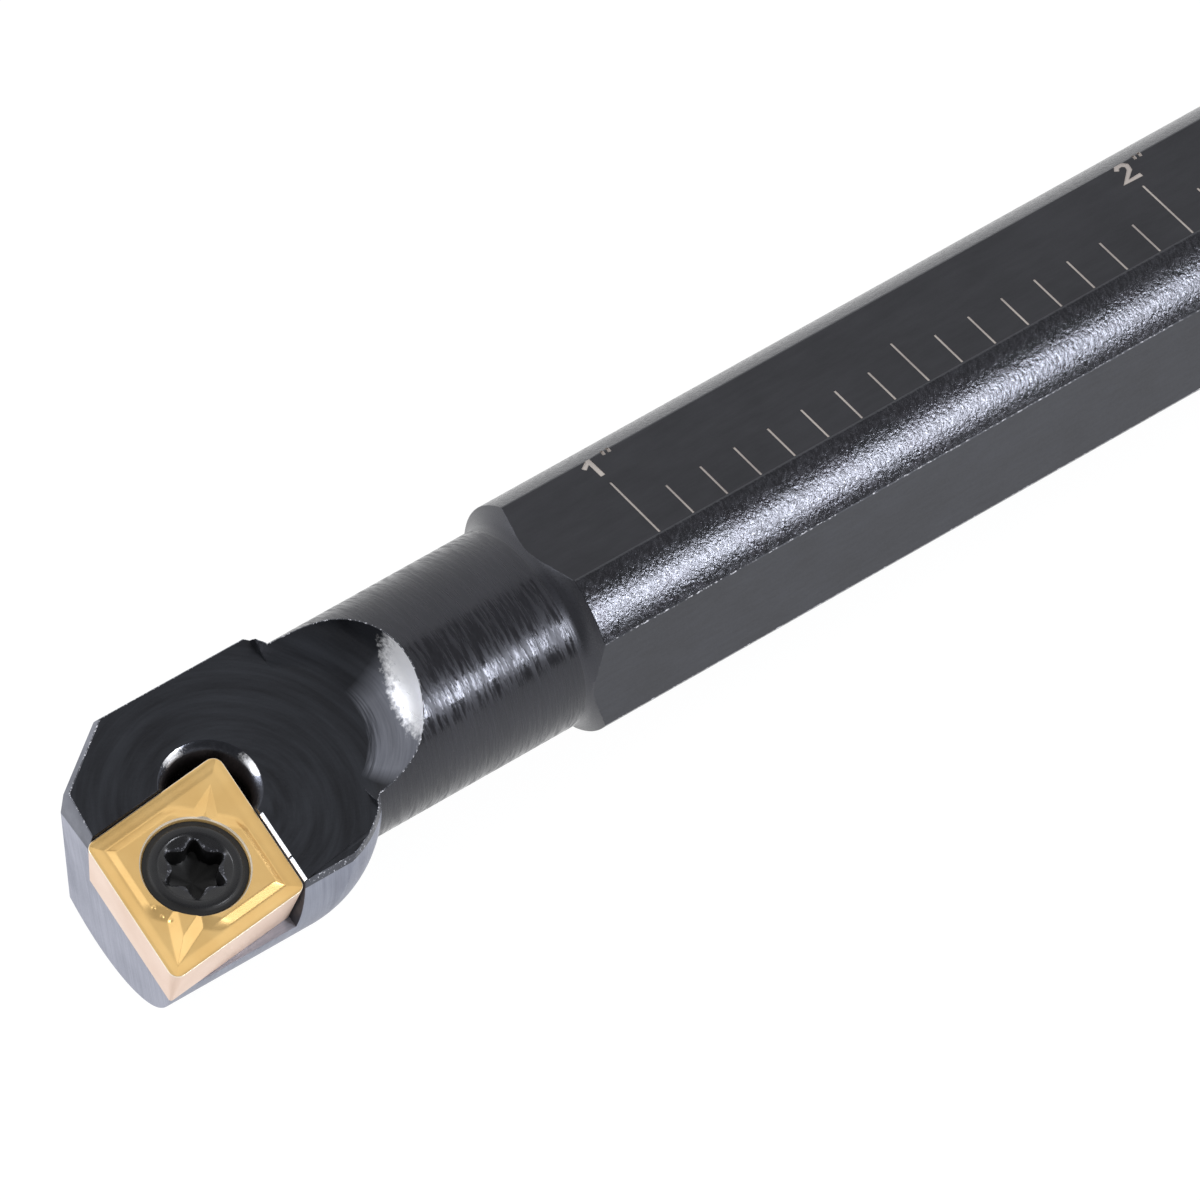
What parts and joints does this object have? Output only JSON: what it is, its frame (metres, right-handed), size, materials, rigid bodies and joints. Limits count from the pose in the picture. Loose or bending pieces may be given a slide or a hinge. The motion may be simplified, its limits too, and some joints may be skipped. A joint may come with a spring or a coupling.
{
  "type": "boring bar",
  "caption": "Right-hand indexable boring bar with a round flatted shank, slim neck and a rhombic insert clamped by a screw.",
  "frame": {"origin": "centre of the flat tail face of the shank, on the bar's axis", "axes": "+X along the bar to the nose of the insert, +Y to the cutting side, +Z square to the top flat"},
  "size_m": [0.1524, 0.0112, 0.0099],
  "materials": {
    "black_steel": "blackened steel, satin",
    "coated_carbide": "gold coating on carbide, satin",
    "screw_steel": "blackened screw steel"
  },
  "bodies": {
    "root": {"bar": "black_steel", "insert": "coated_carbide", "insert_screw": "screw_steel"}
  },
  "joints": []
}
